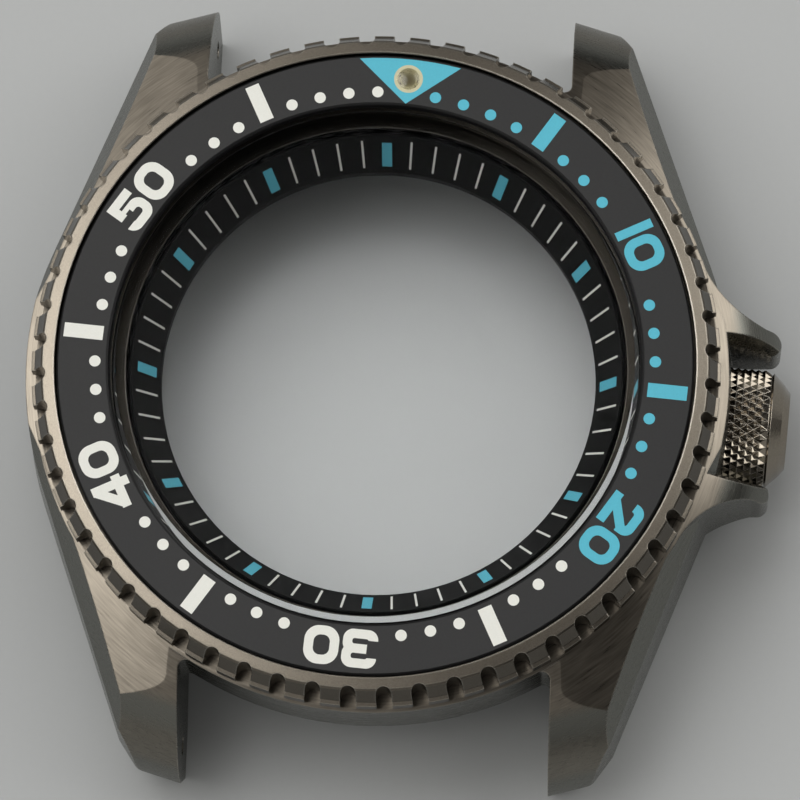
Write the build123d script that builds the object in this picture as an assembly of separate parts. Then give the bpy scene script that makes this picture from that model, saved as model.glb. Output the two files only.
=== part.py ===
from build123d import *
import os
from math import acos, atan2, cos, degrees, hypot, pi, radians, sin, sqrt, tan

# Case of a diver's watch: case middle, turning bezel, crystal, chapter ring and screw-down crown.
# There is no movement, dial, case back or strap bar in it.
# Frame: origin on the case axis in the plane of the case-back land, +Z to the crystal,
# +Y to 12 o'clock, +X to 3 o'clock. All lengths are millimetres, all angles degrees.

# Heights above the case-back land
deck_z = 9.1
rim_z = 11.95
insert_top_z = 11.8
crystal_top_z = 11.8
crystal_seat_z = 9.8
neck_top_z = 10.65
dial_seat_z = 5.2
ledge_thickness = 0.4
crown_z = 3.0
foot_z = -1.2

# Case middle, seen from above
side_r = 21.4
wall_r = 20.6
lug_gap = 22.0
lug_corner_x = 14.8
lug_corner_y = 21.6
lug_tip_x = 13.6
lug_end_y = 23.35
lug_tip_y = 24.1
lug_corner_fillet = 1.0
gap_corner_fillet = 0.45
waist_z = 2.4
side_draft = 3.5
belly_draft = 14.0

# Case middle, tops and undersides
deck_r = 20.4
deck_cone_angle = 20.0
lug_round_r = 7.4
lug_round_slope = 18.0
tip_top_z = 1.5
foot_start_y = 17.6
foot_full_y = 20.6
foot_nose = 0.5
bevel_angle = 64.0
bevel_inner_x = 18.3
bevel_inner_y = 10.5
bevel_outer_x = 14.75
bevel_outer_y = 18.7
under_r = 19.2
under_low_z = 2.6
under_high_z = 4.6

# Bores of the case middle
back_thread_r = 17.0
back_thread_length = 1.4
ledge_r = 13.9
dial_seat_width = 0.6
movement_r = ledge_r + dial_seat_width
crystal_r = 15.7
crystal_seat_width = 0.75
crystal_gasket_width = 0.35
neck_wall = 1.25
chapter_bore_r = crystal_r - crystal_seat_width
gasket_bore_r = crystal_r + crystal_gasket_width
neck_r = gasket_bore_r + neck_wall
back_groove_inner_r = 17.45
back_groove_outer_r = 18.3
back_groove_depth = 0.75
back_gasket_section_r = 0.37

# Strap-bar holes, blind, in the inner faces of the lugs
bar_hole_r = 0.6
bar_hole_depth = 1.4
bar_hole_y = 21.75
bar_hole_z = 2.1

# Crown guards
guard_inner_y = 4.0
guard_outer_y = 5.25
guard_end_x = 23.9
guard_bend_x = 22.9
guard_mid_x = 20.5
guard_mid_y = 6.35
guard_root_x = 18.6
guard_root_y = 8.9
guard_low_z = 1.6
guard_break_r = 20.6
guard_rim_slope = 70.0
guard_under_r = 22.4
guard_facet_z = 5.0
guard_facet_angle = 72.0
guard_facet_turn = 15.0
guard_fillet = 0.6
crown_pocket_x = 19.3
crown_pocket_r = 3.95

# Bezel
bezel_clearance = 0.1
bezel_bore_r = neck_r + bezel_clearance
bezel_bottom_z = 9.25
bezel_r = 20.5
pocket_r = 19.0
rim_width = 0.82
rim_r = pocket_r + rim_width
rim_edge = 0.12
rim_fall = 0.12
flank_groove_z = 10.55
flank_step_r = 20.3
flank_groove_depth = 0.14
flank_groove_height = 0.16
skirt_low_r = 20.3
skirt_chamfer_z = 9.5
pocket_floor_z = 10.75
notch_count = 60
notch_r = 0.47
notch_head_r = 20.03
bezel_groove_depth = 0.12
bezel_groove_r = bezel_bore_r + bezel_groove_depth
bezel_groove_height = 0.8
click_count = 120
click_inner_r = 18.0
click_outer_r = 19.2
click_depth = 0.45
bezel_turn = 5.1

# Bezel gasket, click spring and its pins
bezel_gasket_section_r = 0.3
bezel_gasket_clearance = 0.05
bezel_gasket_z = 9.95
spring_recess_depth = 0.55
spring_neck_gap = 0.45
spring_width = 1.6
spring_inner_r = neck_r + spring_neck_gap
spring_outer_r = spring_inner_r + spring_width
spring_thickness = 0.2
spring_side_clearance = 0.1
spring_span = 250.0
tongue_length = 3.4
tongue_width = 0.5
tongue_clearance = 0.04
pin_r = 0.3
pin_depth = 0.8
pin_inset = 1.0
pin_head_r = 0.54
pin_head_height = 0.12
pin_clearance = 0.03

# Insert with its engraved and filled marks, and the adhesive ring under it
insert_clearance = 0.1
insert_r = pocket_r - insert_clearance
insert_gap = 0.15
insert_bore_r = crystal_r + insert_gap
insert_thickness = 0.95
insert_edge = 0.12
insert_turn = 4.2
adhesive_margin = 0.15
mark_depth = 0.12
dot_r = 0.34
dot_ring_r = 16.6
bar_length = 2.35
bar_width = 0.86
bar_ring_r = 17.4
triangle_half_width = 3.05
triangle_outer_margin = 0.18
triangle_outer_r = insert_r - triangle_outer_margin
triangle_tip_margin = 0.1
triangle_tip_r = insert_bore_r + triangle_tip_margin
figure_height = 2.3
figure_width = 2.06
figure_stroke = 0.55
figure_gap = 0.2
figure_round_share = 0.42
figure_ring_r = 17.28
pearl_r = 0.865
pearl_ring_r = 17.5
pearl_depth = 0.55
pearl_rim = 0.2
pearl_cup_depth = 0.35
pearl_cap_rise = 0.12
cup_floor_share = 0.6

# Crystal
crystal_bevel = 0.3
crystal_low_bevel = 0.12

# Chapter ring
chapter_clearance = 0.15
chapter_r = chapter_bore_r - chapter_clearance
chapter_top_z = 8.6
chapter_edge = 0.14
chapter_top_width = 0.2
chapter_face_width = 1.55
chapter_face_r = chapter_r - chapter_top_width
chapter_bore = chapter_face_r - chapter_face_width
chapter_wall_z = 6.0
chapter_skirt_clearance = 0.1
chapter_skirt_r = ledge_r - chapter_skirt_clearance
chapter_skirt_drop = 0.36
print_thickness = 0.03
five_width = 0.6
five_inner_margin = 0.25
five_outer_margin = 0.3
minute_width = 0.13
minute_margin = 0.2

# Crown and the parts in it, as distances along the crown's axis and radii about it.
# The crown and its guards stand a little clockwise of 3 o'clock.
crown_swing = 3.3
crown_start_x = 19.65
crown_r = 3.6
crown_entry_chamfer = 0.55
knurl_start_x = 20.2
knurl_end_x = 23.5
crown_shoulder_gap = 0.14
crown_shoulder_r = 3.45
crown_bevel_x = 24.3
crown_bevel_r = 2.8
crown_end_x = 24.7
crown_end_r = 2.3
knurl_depth = 0.25
knurl_rows = 4
knurl_columns = 40
crown_core_r = 3.3
tube_start_x = 14.9
tube_end_x = 22.0
tube_shank_r = 1.25
tube_thread_r = 1.75
tube_flange_r = 2.2
tube_flange_length = 0.3
tube_bore_r = 0.95
tube_seal_bore_r = 1.3
tube_seal_length = 0.5
crown_thread_clearance = 0.06
crown_thread_end_x = 22.3
crown_gasket_r = 2.5
crown_gasket_gap = 0.1
crown_gasket_length = 0.5
retainer_length = 0.35
retainer_bore_r = 0.95
chamber_r = 1.35
chamber_end_x = 24.2
post_r = 0.89
post_start_x = 17.0
post_head_r = 1.2
post_head_length = 0.3
stem_thread_r = 0.45
stem_thread_depth = 3.0
washer_length = 0.15
washer_bore_r = 0.75
spring_wire_r = 0.07
spring_coil_r = 0.98
spring_turns = 3
spring_clearance = 0.05

# One overrun serves all cuts
over = 2.0

ON_TOP = (Align.CENTER, Align.CENTER, Align.MIN)


def polar(radius, angle):
    """Point at a radius and an angle anticlockwise from +X."""
    return (radius * cos(radians(angle)), radius * sin(radians(angle)))


def turned(points):
    """Solid turned about the case axis from (radius, height) points."""
    face = make_face(Polyline(*[(r, 0, z) for r, z in points], close=True))
    return revolve(face, Axis.Z)


def turned_on_crown(points):
    """Solid turned about the crown's axis from (distance, radius) points."""
    face = make_face(Polyline(*[(x, 0, r) for x, r in points], close=True))
    return Pos(0, 0, crown_z) * revolve(face, Axis.X)


def ring(outer_r, inner_r, low_z, high_z):
    """Plain ring about the case axis."""
    return turned([(inner_r, low_z), (outer_r, low_z), (outer_r, high_z), (inner_r, high_z)])


def crown_ring(outer_r, inner_r, start_x, end_x):
    """Plain ring about the crown's axis."""
    return turned_on_crown([(start_x, inner_r), (end_x, inner_r), (end_x, outer_r), (start_x, outer_r)])


def rod_on_crown(radius, start_x, end_x):
    """Round rod along the crown's axis."""
    return turned_on_crown([(start_x, 0), (end_x, 0), (end_x, radius), (start_x, radius)])


def to_crown_side(shape):
    """Shape drawn at 3 o'clock, swung round to where the crown stands."""
    return Rot(0, 0, -crown_swing) * shape


def o_ring(ring_r, section_r, height):
    """Round rubber ring about the case axis."""
    return Pos(0, 0, height) * Torus(ring_r, section_r)


def prism(sketch, low_z, high_z):
    """Flat sketch raised from one height to another."""
    return extrude(Pos(0, 0, low_z) * sketch, high_z - low_z)


def four_ways(x, y):
    """A place on the first lug, and its mirror images on the other three."""
    return [(sx * x, sy * y) for sx in (1, -1) for sy in (1, -1)]


# Case middle

def case_outline():
    """Plan of the case at its waist: round sides, and flanks tangent to them out to the lugs."""
    corner = (lug_corner_x, lug_corner_y)
    swing = degrees(atan2(lug_corner_y, lug_corner_x)) - degrees(acos(side_r / hypot(*corner)))
    touch_x, touch_y = polar(side_r, swing)
    half = [(touch_x, touch_y), corner, (lug_tip_x, lug_end_y), (lug_gap / 2, lug_tip_y)]
    top = half + [(-x, y) for x, y in reversed(half)]
    bottom = [(-x, -y) for x, y in top]
    outline = Curve() + [
        Polyline(*top),
        ThreePointArc(top[-1], (-side_r, 0), bottom[0]),
        Polyline(*bottom),
        ThreePointArc(bottom[-1], (side_r, 0), top[0]),
    ]
    face = make_face(outline)
    corners = face.vertices().filter_by(lambda v: abs(v.Y) > (touch_y + lug_corner_y) / 2)
    return fillet(corners.filter_by(lambda v: abs(v.X) > (lug_gap / 2 + lug_tip_x) / 2), lug_corner_fillet)


def lug_profile():
    """Side view of the case middle: deck, ends and feet, as a prism across the case."""
    half = [(lug_tip_y, deck_z), (lug_tip_y, foot_z + foot_nose),
            (lug_tip_y - foot_nose, foot_z), (foot_full_y, foot_z), (foot_start_y, 0)]
    points = half + [(-y, z) for y, z in reversed(half)]
    return extrude(Plane.YZ * make_face(Polyline(*points, close=True)), side_r + over, both=True)


def lug_end_cuts():
    """Space over the rounded ends of the lugs, which slant so that a lug is longest at its inner face."""
    slant = atan2(lug_tip_y - lug_end_y, lug_tip_x - lug_gap / 2)
    reach = lug_gap / 2 * sin(slant) + lug_tip_y * cos(slant)

    def place(angle):
        along, height = polar(lug_round_r, angle)
        return (reach - lug_round_r + along, tip_top_z + height)

    start_angle = 90 - lug_round_slope
    start, low = place(start_angle), place(0)
    run = (deck_z + over - start[1]) / tan(radians(lug_round_slope))
    outline = Curve() + [
        ThreePointArc(start, place(start_angle / 2), low),
        Polyline(low, (reach + over, tip_top_z), (reach + over, deck_z + over), (start[0] - run, deck_z + over), start),
    ]
    side = Plane(origin=(0, 0, 0), x_dir=(sin(slant), cos(slant), 0), z_dir=(cos(slant), -sin(slant), 0))
    cut = extrude(side * make_face(outline), side_r + over)
    pair = [cut, mirror(cut, Plane.YZ)]
    return pair + [Rot(0, 0, 180) * piece for piece in pair]


def deck_fall(radius):
    """Drop of the brushed cone below the deck at a radius."""
    return (radius - deck_r) * tan(radians(deck_cone_angle))


def deck_cone():
    """Turned surface that the brushed tops of the lugs follow, from the deck outwards."""
    reach = hypot(lug_corner_x, lug_tip_y) + over
    low_z = foot_z - over
    return turned([(0, low_z), (reach, low_z), (reach, deck_z - deck_fall(reach)), (deck_r, deck_z), (0, deck_z)])


def half_space(point, normal):
    """Large block whose lower face passes through a point, square to a normal."""
    size = (side_r + lug_tip_y) * 2
    return Plane(origin=point, z_dir=normal) * Box(size, size, size, align=ON_TOP)


def lug_bevels():
    """Polished bevels along the outer edges of the four lugs."""
    run_x = bevel_outer_x - bevel_inner_x
    run_y = bevel_outer_y - bevel_inner_y
    length = hypot(run_x, run_y)
    lean = sin(radians(bevel_angle)) / length
    rise = cos(radians(bevel_angle))
    edge_z = deck_z - deck_fall(hypot(bevel_outer_x, bevel_outer_y))
    blocks = []
    for x, y in four_ways(bevel_outer_x, bevel_outer_y):
        normal = (run_y * lean * x / abs(x), -run_x * lean * y / abs(y), rise)
        blocks.append(half_space((x, y, edge_z), normal))
    return blocks


def lug_gap_cut():
    """Space between two lugs down to the round wall, with rounded corners, at 12 and 6 o'clock."""
    depth = lug_tip_y + over
    plan = Pos(0, depth / 2) * Rectangle(lug_gap, depth) - Circle(wall_r)
    corners = plan.vertices().filter_by(lambda v: v.Y < wall_r)
    plan = fillet(corners, gap_corner_fillet)
    through = prism(plan, foot_z - over, deck_z + over)
    under = Pos(0, depth / 2) * Rectangle(lug_gap, depth)
    cone = turned([
        (0, foot_z - over), (under_r, foot_z - over), (under_r, under_low_z),
        (wall_r, under_high_z), (wall_r, deck_z + over), (0, deck_z + over),
    ])
    shelf = prism(under, foot_z - over, under_high_z) - cone
    return [mirror_y * cut for cut in (through, shelf) for mirror_y in (Rot(0, 0, 0), Rot(0, 0, 180))]


def guard_plan():
    """Plan of the crown guard on the 12 o'clock side."""
    foot = guard_root_x - over
    outline = Curve() + [
        Polyline((foot, guard_root_y), (foot, guard_inner_y), (guard_end_x, guard_inner_y),
                 (guard_end_x, guard_outer_y), (guard_bend_x, guard_outer_y)),
        ThreePointArc((guard_bend_x, guard_outer_y), (guard_mid_x, guard_mid_y), (guard_root_x, guard_root_y)),
        Line((guard_root_x, guard_root_y), (foot, guard_root_y)),
    ]
    face = make_face(outline)
    tips = face.vertices().filter_by(lambda v: v.X > (guard_bend_x + guard_end_x) / 2)
    return fillet(tips, guard_fillet)


def guard_form():
    """Turned form that the guards keep to: a rounded fall from the deck, the rim and the underside."""
    rim_r = hypot(guard_end_x, guard_outer_y)
    break_sine, rim_sine = sin(radians(deck_cone_angle)), sin(radians(guard_rim_slope))
    round_r = (rim_r - guard_break_r) / (rim_sine - break_sine)
    centre_z = deck_z - deck_fall(guard_break_r) - round_r * cos(radians(deck_cone_angle))

    def place(slope):
        return (guard_break_r + round_r * (sin(radians(slope)) - break_sine), 0,
                centre_z + round_r * cos(radians(slope)))

    start, end = place(deck_cone_angle), place(guard_rim_slope)
    outline = Curve() + [
        ThreePointArc(start, place((deck_cone_angle + guard_rim_slope) / 2), end),
        Polyline(end, (rim_r, 0, waist_z), (guard_under_r, 0, guard_low_z), (0, 0, guard_low_z),
                 (0, 0, deck_z), (deck_r, 0, deck_z), start),
    ]
    return revolve(make_face(outline), Axis.Z)


def crown_guard():
    """Crown guard on the 12 o'clock side, with a steep facet along its top edge beside the crown."""
    lean = sin(radians(guard_facet_angle))
    normal = (sin(radians(guard_facet_turn)) * lean, -cos(radians(guard_facet_turn)) * lean,
              cos(radians(guard_facet_angle)))
    block = prism(guard_plan(), guard_low_z, deck_z) & guard_form()
    return block - half_space((guard_end_x, guard_inner_y, guard_facet_z), normal)


def bore_column():
    """Everything that is bored out of the case middle along its axis."""
    ledge_z = dial_seat_z + ledge_thickness
    return turned([
        (0, -over), (back_thread_r, -over), (back_thread_r, back_thread_length),
        (movement_r, back_thread_length), (movement_r, dial_seat_z),
        (ledge_r, dial_seat_z), (ledge_r, ledge_z),
        (chapter_bore_r, ledge_z), (chapter_bore_r, crystal_seat_z),
        (gasket_bore_r, crystal_seat_z), (gasket_bore_r, rim_z + over), (0, rim_z + over),
    ])


def bar_holes():
    """Blind holes for the strap bars, in the inner faces of the lugs."""
    places = four_ways(lug_gap / 2 + bar_hole_depth / 2, bar_hole_y)
    return [Pos(x, y, bar_hole_z) * Rot(0, 90, 0) * Cylinder(bar_hole_r, bar_hole_depth) for x, y in places]


def spring_band(inner_r, outer_r, low_z, high_z, span):
    """Part of a ring, open at 12 o'clock, as the click spring and its recess are."""
    half_gap = (360 - span) / 2
    reach = outer_r / cos(radians(half_gap / 2)) + over
    wedge = [(0, 0), polar(reach, 90 + half_gap), polar(reach, 90), polar(reach, 90 - half_gap)]
    opening = prism(make_face(Polyline(*wedge, close=True)), low_z - over, high_z + over)
    return ring(outer_r, inner_r, low_z, high_z) - opening


def pin_places():
    """The two pins sit near the ends of the click spring."""
    edge = (360 - spring_span) / 2
    reach = (spring_inner_r + spring_outer_r) / 2
    step = degrees(pin_inset / reach)
    return [polar(reach, 90 + edge + step), polar(reach, 90 - edge - step)]


def blank_case():
    """Case middle with its lugs and guards, before anything is bored or turned out of it."""
    body = extrude(Pos(0, 0, waist_z) * case_outline(), deck_z - waist_z, taper=side_draft)
    belly = extrude(Pos(0, 0, waist_z) * case_outline(), foot_z - waist_z, taper=belly_draft)
    body = ((body + belly) & lug_profile()) - lug_bevels() - lug_end_cuts()
    guard = crown_guard()
    guards = [to_crown_side(guard), to_crown_side(mirror(guard, Plane.XZ))]
    body = (body + ring(wall_r, movement_r, 0, deck_z) + guards) & deck_cone()
    pocket = to_crown_side(rod_on_crown(crown_pocket_r, crown_pocket_x, guard_end_x + over))
    return body - lug_gap_cut() - pocket + ring(neck_r, gasket_bore_r, crystal_seat_z - over, neck_top_z)


def mid_case():
    recess_low_z = deck_z - spring_recess_depth
    recess = ring(spring_outer_r + spring_side_clearance, spring_inner_r - spring_side_clearance,
                  recess_low_z, deck_z + over)
    gasket_groove = ring(neck_r + over, neck_gasket_seat_r(), bezel_gasket_z - bezel_gasket_section_r,
                         bezel_gasket_z + bezel_gasket_section_r)
    body = blank_case() - bore_column() - recess - gasket_groove - bar_holes()
    body = body - ring(back_groove_outer_r, back_groove_inner_r, -over, back_groove_depth)
    body = body - to_crown_side(rod_on_crown(tube_shank_r, 0, crown_pocket_x + over))
    pin_hole = Cylinder(pin_r, pin_depth + over, align=ON_TOP)
    return body - [Pos(x, y, recess_low_z - pin_depth) * pin_hole for x, y in pin_places()]


def neck_gasket_seat_r():
    """Floor of the groove in the neck that holds the bezel gasket."""
    return bezel_groove_r - bezel_gasket_clearance - bezel_gasket_section_r * 2


# Bezel and what is fixed to it

def bezel_blank():
    """Turned bezel before its notches and click teeth."""
    return turned([
        (bezel_bore_r, bezel_bottom_z), (skirt_low_r, bezel_bottom_z), (bezel_r, skirt_chamfer_z),
        (bezel_r, flank_groove_z - flank_groove_height), (flank_step_r - flank_groove_depth, flank_groove_z),
        (flank_step_r, flank_groove_z + flank_groove_height / 2),
        (rim_r, rim_z - rim_fall - rim_edge), (rim_r - rim_edge, rim_z - rim_fall),
        (pocket_r + rim_edge / 2, rim_z), (pocket_r, rim_z - rim_edge / 2),
        (pocket_r, pocket_floor_z), (bezel_bore_r, pocket_floor_z),
    ])


def notch_cutter():
    """U-shaped notch with its round head towards the centre, on the +X side."""
    plan = Pos(notch_head_r, 0) * Circle(notch_r)
    plan = plan + Pos(notch_head_r + over / 2, 0) * Rectangle(over, notch_r * 2)
    return prism(plan, bezel_bottom_z - over, rim_z + over)


def click_cutter():
    """One sawtooth valley in the bezel's underside, on the +X side."""
    mean_r = (click_inner_r + click_outer_r) / 2
    half_pitch = mean_r * pi / click_count
    low_z = bezel_bottom_z - click_depth
    points = [(-half_pitch, low_z), (half_pitch, low_z), (half_pitch, bezel_bottom_z + click_depth),
              (-half_pitch, bezel_bottom_z)]
    face = make_face(Polyline(*[(click_inner_r, y, z) for y, z in points], close=True))
    return extrude(face, click_outer_r - click_inner_r, dir=(1, 0, 0))


def around(shape, count, offset=0):
    """Copies of a shape in equal steps about the case axis."""
    return [Rot(0, 0, offset + 360 / count * i) * shape for i in range(count)]


def bezel():
    body = bezel_blank()
    body = body - ring(bezel_groove_r, bezel_bore_r - over, bezel_gasket_z - bezel_groove_height / 2,
                       bezel_gasket_z + bezel_groove_height / 2)
    body = body - around(notch_cutter(), notch_count, 180 / notch_count)
    body = body - around(click_cutter(), click_count, 180 / click_count)
    return body


def insert_blank():
    low_z = insert_top_z - insert_thickness
    return turned([
        (insert_bore_r, low_z), (insert_r, low_z), (insert_r, insert_top_z - insert_edge),
        (insert_r - insert_edge, insert_top_z), (insert_bore_r + insert_edge, insert_top_z),
        (insert_bore_r, insert_top_z - insert_edge),
    ])


def on_dial(sketch, minute, radius=0):
    """Sketch drawn at 12 o'clock, moved out to a radius and round to a minute."""
    return Rot(0, 0, -6 * minute) * Pos(0, radius) * sketch


def block(left_share, right_share, low_share, high_share):
    """Bar of a figure, by shares of its half width and half height."""
    width = (right_share - left_share) * figure_width / 2
    height = (high_share - low_share) * figure_height / 2
    middle_x = (right_share + left_share) * figure_width / 4
    middle_y = (high_share + low_share) * figure_height / 4
    return Pos(middle_x, middle_y) * Rectangle(width, height)


def bowl(low_share, high_share):
    """Rounded ring of a figure between two shares of its half height."""
    height = (high_share - low_share) * figure_height / 2
    middle_y = (high_share + low_share) * figure_height / 4
    hole_width = figure_width - figure_stroke * 2
    hole_height = height - figure_stroke * 2
    outer = RectangleRounded(figure_width, height, min(figure_width, height) * figure_round_share)
    inner = RectangleRounded(hole_width, hole_height, min(hole_width, hole_height) * figure_round_share)
    return Pos(0, middle_y) * (outer - inner)


def stroke(start_shares, end_shares):
    """Straight stroke of a figure between two points, by shares of its half size."""
    x0, y0 = start_shares[0] * figure_width / 2, start_shares[1] * figure_height / 2
    x1, y1 = end_shares[0] * figure_width / 2, end_shares[1] * figure_height / 2
    angle = degrees(atan2(y1 - y0, x1 - x0))
    return Pos((x0 + x1) / 2, (y0 + y1) / 2) * Rot(0, 0, angle) * Rectangle(hypot(x1 - x0, y1 - y0), figure_stroke)


def figure_two():
    left_cut_shares = (-1.1, 0.1, -0.45, 0.33)
    right_cut_shares = (0, 1.1, -0.45, 0.12)
    slope_shares = ((0.7, 0.34), (-0.62, -0.8))
    hook = bowl(-0.3, 1) - block(*left_cut_shares) - block(*right_cut_shares)
    foot = block(-1, 1, -1, figure_stroke * 2 / figure_height - 1)
    return hook + (stroke(*slope_shares) & block(-1, 1, -1, 1)) + foot


def figure_three():
    reach_share = figure_stroke / figure_height
    upper_cut_shares = (-1.1, 0, reach_share, 0.45)
    lower_cut_shares = (-1.1, 0, -0.45, -reach_share)
    end_cut_shares = (-1.1, -0.4, -0.45, 0.45)
    upper = bowl(-reach_share, 1) - block(*upper_cut_shares)
    lower = bowl(-1, reach_share) - block(*lower_cut_shares)
    return upper + lower - block(*end_cut_shares)


def figure_four():
    stem_share = 0.22
    arm_share = -0.66
    slope_shares = ((0.42, 0.8), (-0.78, -0.42))
    stem = block(stem_share, stem_share + figure_stroke * 2 / figure_width, -1, 1)
    arm = block(-1, 1, arm_share, arm_share + figure_stroke * 2 / figure_height)
    return stem + arm + stroke(*slope_shares)


def figure_five():
    bowl_top_share = 0.36
    cut_shares = (-1.1, 0, -0.48, 0.1)
    back_share = -0.9
    bar_share = 0.85
    back = block(back_share, back_share + figure_stroke * 2 / figure_width, 0, 1)
    bar = block(back_share, bar_share, 1 - figure_stroke * 2 / figure_height, 1)
    return bar + back + (bowl(-1, bowl_top_share) - block(*cut_shares))


def figure(digit):
    """Figure of the insert, centred on its cell."""
    if digit == 0:
        return bowl(-1, 1)
    if digit == 1:
        return Rectangle(figure_stroke, figure_height)
    return {2: figure_two, 3: figure_three, 4: figure_four, 5: figure_five}[digit]()


def numeral(minute):
    """Two-figure numeral whose top points outwards."""
    tens = minute // 10
    tens_width = figure_stroke if tens == 1 else figure_width
    half_width = (tens_width + figure_gap + figure_width) / 2
    left = Pos(tens_width / 2 - half_width, 0) * figure(tens)
    return left + Pos(half_width - figure_width / 2, 0) * figure(0)


def minute_marks(minutes):
    """Sketches of the insert's dots, bars and numerals for some minutes."""
    marks = []
    for minute in minutes:
        beside_numeral = minute % 10 in (1, 9) and minute not in (1, 59)
        if beside_numeral:
            continue
        if minute % 10 == 0:
            marks.append(on_dial(numeral(minute), minute, figure_ring_r))
        elif minute % 5 == 0:
            marks.append(on_dial(Rectangle(bar_width, bar_length), minute, bar_ring_r))
        else:
            marks.append(on_dial(Circle(dot_r), minute, dot_ring_r))
    return marks


def zero_triangle():
    """Triangle at minute zero with its base on the insert's outer edge."""
    base_y = sqrt(triangle_outer_r ** 2 - triangle_half_width ** 2)
    grow = (triangle_outer_r - triangle_tip_r) / (base_y - triangle_tip_r)
    wide = triangle_half_width * grow
    wedge = make_face(Polyline((0, triangle_tip_r), (wide, triangle_outer_r), (-wide, triangle_outer_r), close=True))
    return (wedge & Circle(triangle_outer_r)) - Pos(0, pearl_ring_r) * Circle(pearl_r)


def raised_marks(sketches):
    """Marks as solids that fill the engraving flush with the insert's top."""
    return [prism(sketch, insert_top_z - mark_depth, insert_top_z) for sketch in sketches]


def blue_marks():
    return raised_marks([zero_triangle()] + minute_marks(range(1, 21)))


def white_marks():
    return raised_marks(minute_marks(range(21, 60)))


def bezel_insert():
    hole = Pos(0, pearl_ring_r, insert_top_z - pearl_depth / 2) * Cylinder(pearl_r, pearl_depth)
    return insert_blank() - blue_marks() - white_marks() - hole


def insert_adhesive():
    return ring(insert_r - adhesive_margin, bezel_bore_r + adhesive_margin, pocket_floor_z,
                insert_top_z - insert_thickness)


def lume_pearl():
    """Luminous pearl: a cup with a sloping rim."""
    low_z = insert_top_z - pearl_depth
    cup_r = pearl_r - pearl_rim
    points = [(0, low_z), (pearl_r, low_z), (pearl_r, insert_top_z), (cup_r, insert_top_z),
              (cup_r * cup_floor_share, insert_top_z - pearl_cup_depth), (0, insert_top_z - pearl_cup_depth)]
    return Pos(0, pearl_ring_r) * turned(points)


def pearl_cap():
    """Clear cap that fills the pearl's cup and stands a little domed over it."""
    cup_r = pearl_r - pearl_rim
    low_z = insert_top_z - pearl_cup_depth
    dome_r = (cup_r ** 2 + pearl_cap_rise ** 2) / (pearl_cap_rise * 2)
    cup = turned([(0, low_z), (cup_r * cup_floor_share, low_z), (cup_r, insert_top_z),
                  (cup_r, insert_top_z + over), (0, insert_top_z + over)])
    dome = Pos(0, 0, insert_top_z + pearl_cap_rise - dome_r) * Sphere(dome_r)
    return Pos(0, pearl_ring_r) * (cup & dome)


# Fixed parts of the case

def crystal():
    return turned([
        (0, crystal_seat_z), (crystal_r - crystal_low_bevel, crystal_seat_z),
        (crystal_r, crystal_seat_z + crystal_low_bevel), (crystal_r, crystal_top_z - crystal_bevel),
        (crystal_r - crystal_bevel, crystal_top_z), (0, crystal_top_z),
    ])


def crystal_gasket():
    return ring(gasket_bore_r, crystal_r, crystal_seat_z, neck_top_z)


def bezel_gasket():
    seat_r = neck_gasket_seat_r()
    return o_ring(seat_r + bezel_gasket_section_r, bezel_gasket_section_r, bezel_gasket_z)


def back_gasket():
    middle_r = (back_groove_inner_r + back_groove_outer_r) / 2
    return o_ring(middle_r, back_gasket_section_r, back_groove_depth - back_gasket_section_r)


def click_spring():
    """Flat spring in the deck's recess, with a tongue bent up to the bezel's teeth."""
    low_z = deck_z - spring_recess_depth
    high_z = low_z + spring_thickness
    tip_z = bezel_bottom_z - tongue_clearance
    band = spring_band(spring_inner_r, spring_outer_r, low_z, high_z, spring_span)
    hole = Cylinder(pin_r + pin_clearance, over)
    mean_r = (spring_inner_r + spring_outer_r) / 2
    slit = Pos(-mean_r, tongue_length / 2, low_z) * Box(tongue_width * 2, tongue_length, over)
    points = [(tongue_length, low_z), (tongue_length, high_z), (0, tip_z), (0, tip_z - spring_thickness)]
    face = make_face(Polyline(*[(-mean_r, y, z) for y, z in points], close=True))
    tongue = extrude(face, tongue_width / 2, dir=(1, 0, 0), both=True)
    return band - [Pos(x, y, low_z) * hole for x, y in pin_places()] - slit + tongue


def spring_pins():
    low_z = deck_z - spring_recess_depth
    shank = Pos(0, 0, low_z - pin_depth) * Cylinder(pin_r, pin_depth + spring_thickness, align=ON_TOP)
    head = Pos(0, 0, low_z + spring_thickness) * Cylinder(pin_head_r, pin_head_height, align=ON_TOP)
    return [Pos(x, y) * (shank + head) for x, y in pin_places()]


def chapter_body():
    floor_z = dial_seat_z + ledge_thickness
    return turned([
        (chapter_bore, floor_z - chapter_skirt_drop), (chapter_skirt_r, floor_z - chapter_skirt_drop),
        (chapter_skirt_r, floor_z), (chapter_r, floor_z), (chapter_r, chapter_top_z - chapter_edge),
        (chapter_r - chapter_edge, chapter_top_z), (chapter_face_r, chapter_top_z), (chapter_bore, chapter_wall_z),
    ])


def print_layer():
    """Thin layer on the chapter ring's cone, out of which the printed marks are cut."""
    return turned([(chapter_face_r, chapter_top_z), (chapter_bore, chapter_wall_z),
                   (chapter_bore, chapter_wall_z + print_thickness),
                   (chapter_face_r, chapter_top_z + print_thickness)])


def chapter_marks(minutes, width, inner_margin, outer_margin):
    layer = print_layer()
    inner_r = chapter_bore + inner_margin
    outer_r = chapter_face_r - outer_margin
    marks = []
    for minute in minutes:
        strip = Pos(0, (inner_r + outer_r) / 2) * Rectangle(width, outer_r - inner_r)
        marks.append(layer & prism(on_dial(strip, minute), chapter_wall_z - over, chapter_top_z + over))
    return marks


def five_minute_marks():
    return chapter_marks(range(0, 60, 5), five_width, five_inner_margin, five_outer_margin)


def single_minute_marks():
    minutes = [minute for minute in range(60) if minute % 5]
    return chapter_marks(minutes, minute_width, minute_margin, minute_margin)


# Crown and crown tube

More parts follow.
